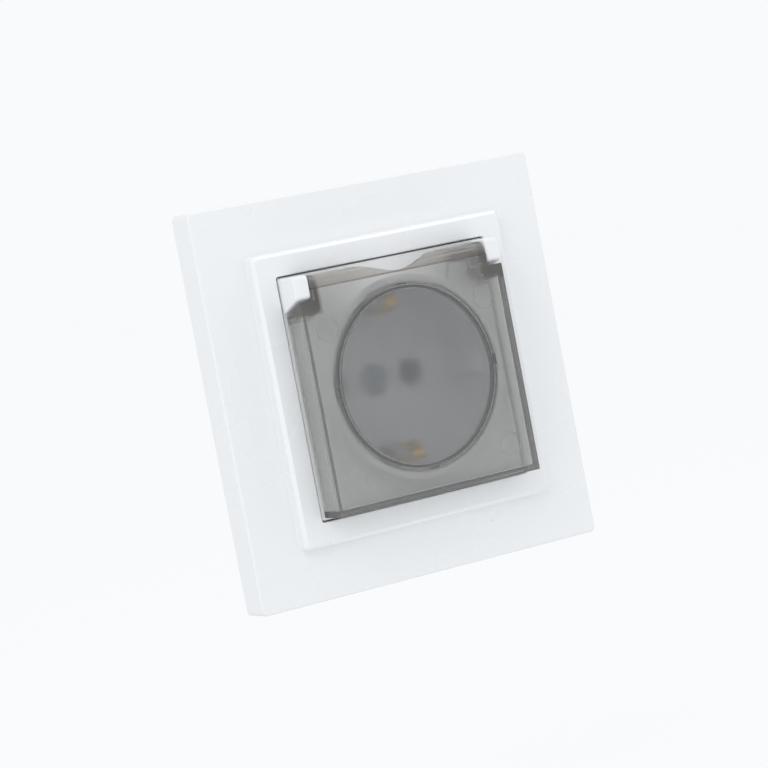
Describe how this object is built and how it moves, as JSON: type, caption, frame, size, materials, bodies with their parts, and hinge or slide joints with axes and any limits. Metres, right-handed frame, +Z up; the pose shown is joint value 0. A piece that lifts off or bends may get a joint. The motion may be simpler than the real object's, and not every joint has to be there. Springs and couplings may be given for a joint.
{
  "type": "flush wall socket outlet with hinged lid",
  "caption": "White flush wall socket with a square frame, a round earthed plug recess and a smoke-clear sprung lid hinged at the top.",
  "frame": {"origin": "centre of the square frame, on the wall plane", "axes": "+Z up the wall, -Y out of the wall towards the user, +X to the user's right"},
  "size_m": [0.082, 0.0441, 0.082],
  "materials": {
    "frame_white": "glossy moulded white",
    "plate_white": "glossy moulded white",
    "lid_smoke": "translucent smoke grey, lightly hazed",
    "base_grey": "matte moulded grey",
    "cover_grey": "matte moulded grey",
    "ring_zinc": "zinc-plated sheet",
    "screw_zinc": "zinc-plated, turned",
    "clamp_zinc": "zinc-plated, stamped",
    "rivet_steel": "plain steel",
    "pin_steel": "bright drawn steel",
    "spring_steel": "bright spring wire",
    "bracket_brass": "rolled brass strip, slightly tarnished",
    "contact_brass": "rolled brass strip",
    "bush_brass": "turned brass"
  },
  "bodies": {
    "socket": {"base_cover": "cover_grey", "base_housing": "base_grey", "centre_plate": "plate_white", "centre_screw": "screw_zinc", "clamp_plate_1": "clamp_zinc", "clamp_plate_2": "clamp_zinc", "clamp_plate_3": "clamp_zinc", "clamp_plate_4": "clamp_zinc", "contact_left": "contact_brass", "contact_right": "contact_brass", "cover_frame": "frame_white", "earth_bracket": "bracket_brass", "earth_clamp_1": "clamp_zinc", "earth_clamp_2": "clamp_zinc", "earth_screw_1": "screw_zinc", "earth_screw_2": "screw_zinc", "hinge_pin_left": "pin_steel", "hinge_pin_right": "pin_steel", "lid_spring": "spring_steel", "rivet_lower": "rivet_steel", "rivet_upper": "rivet_steel", "screw_bush": "bush_brass", "support_ring": "ring_zinc", "terminal_screw_1": "screw_zinc", "terminal_screw_2": "screw_zinc", "terminal_screw_3": "screw_zinc", "terminal_screw_4": "screw_zinc"},
    "lid": {"lid": "lid_smoke"}
  },
  "joints": [
    {"name": "lid_hinge", "type": "hinge", "parent": "socket", "child": "lid", "pos_m": [0, -0.0125, 0.0222], "axis": [-1, 0, 0], "range_deg": [0, 110], "stiffness_Nm_per_rad": 0.003, "springref_deg": -34.38, "deforming": ["lid_spring"]}
  ]
}
